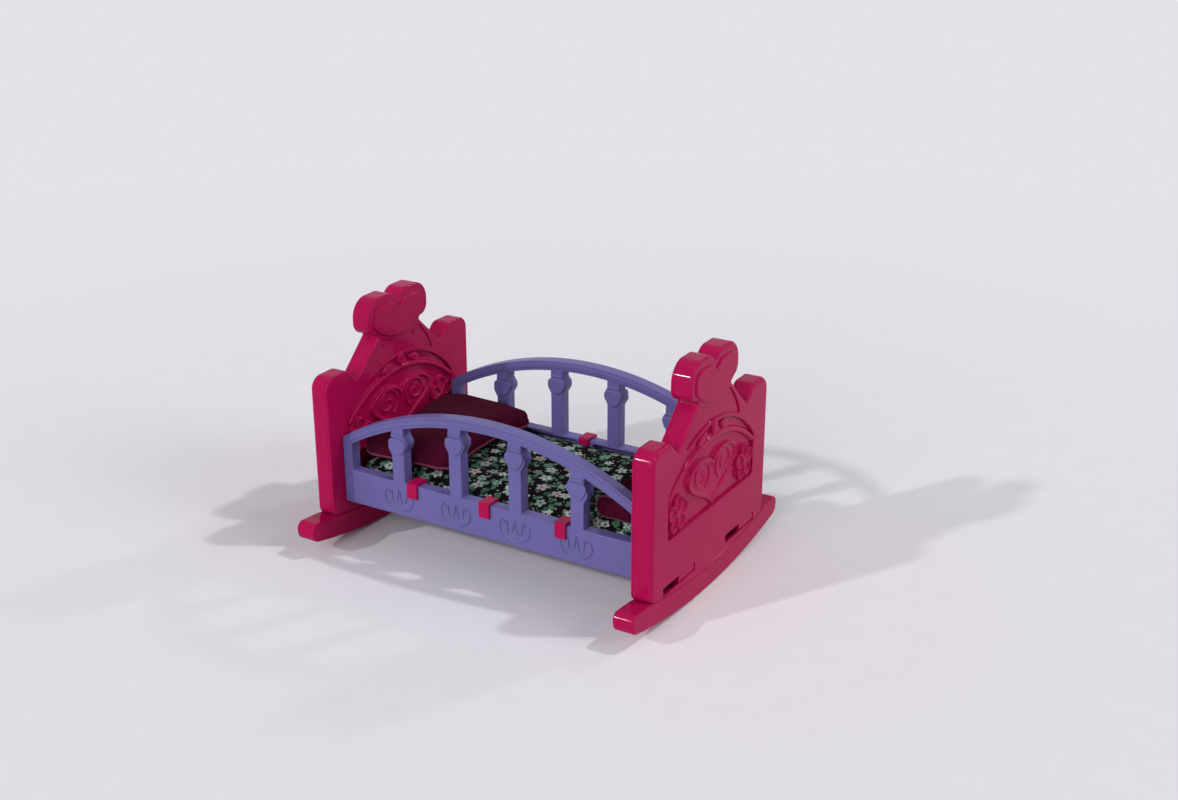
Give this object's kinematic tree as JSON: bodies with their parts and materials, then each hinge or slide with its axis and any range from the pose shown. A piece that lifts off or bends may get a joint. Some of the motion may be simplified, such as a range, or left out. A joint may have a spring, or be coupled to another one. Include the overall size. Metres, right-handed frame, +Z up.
{
  "type": "doll rocking cradle",
  "caption": "Doll's rocking cradle: heart-crowned end panels on curved rockers, arched spindle side rails, clipped cross bars and loose bedding.",
  "frame": {"origin": "on the floor, under the middle of the cradle", "axes": "+X along the cradle from the headboard to the footboard, +Y across it, +Z up"},
  "size_m": [0.4532, 0.36, 0.282],
  "materials": {
    "pink_plastic": "glossy injection-moulded plastic, crimson pink",
    "violet_plastic": "satin injection-moulded plastic, periwinkle violet",
    "floral_cotton": "printed cotton with small flowers on a near-black ground",
    "maroon_cloth": "soft plain maroon cloth with piping"
  },
  "bodies": {
    "frame": {"foot_outer_shell": "pink_plastic", "foot_inner_shell": "pink_plastic", "foot_rocker": "pink_plastic", "foot_push_pin_1": "pink_plastic", "foot_push_pin_2": "pink_plastic", "foot_push_pin_3": "pink_plastic", "foot_push_pin_4": "pink_plastic", "head_outer_shell": "pink_plastic", "head_inner_shell": "pink_plastic", "head_rocker": "pink_plastic", "head_push_pin_1": "pink_plastic", "head_push_pin_2": "pink_plastic", "head_push_pin_3": "pink_plastic", "head_push_pin_4": "pink_plastic", "near_side_rail": "violet_plastic", "far_side_rail": "violet_plastic", "head_cross_bar": "pink_plastic", "middle_cross_bar": "pink_plastic", "foot_cross_bar": "pink_plastic", "bed_base": "violet_plastic"},
    "mattress": {"mattress": "floral_cotton"},
    "pillow": {"pillow": "maroon_cloth"},
    "foot_bolster": {"foot_bolster": "maroon_cloth"}
  },
  "joints": [
    {"name": "mattress_lift", "type": "slide", "parent": "frame", "child": "mattress", "axis": [0, 0, 1], "range_m": [0, 0.2]},
    {"name": "pillow_lift", "type": "slide", "parent": "mattress", "child": "pillow", "axis": [0, 0, 1], "range_m": [0, 0.15]},
    {"name": "bolster_lift", "type": "slide", "parent": "mattress", "child": "foot_bolster", "axis": [0, 0, 1], "range_m": [0, 0.15]}
  ]
}
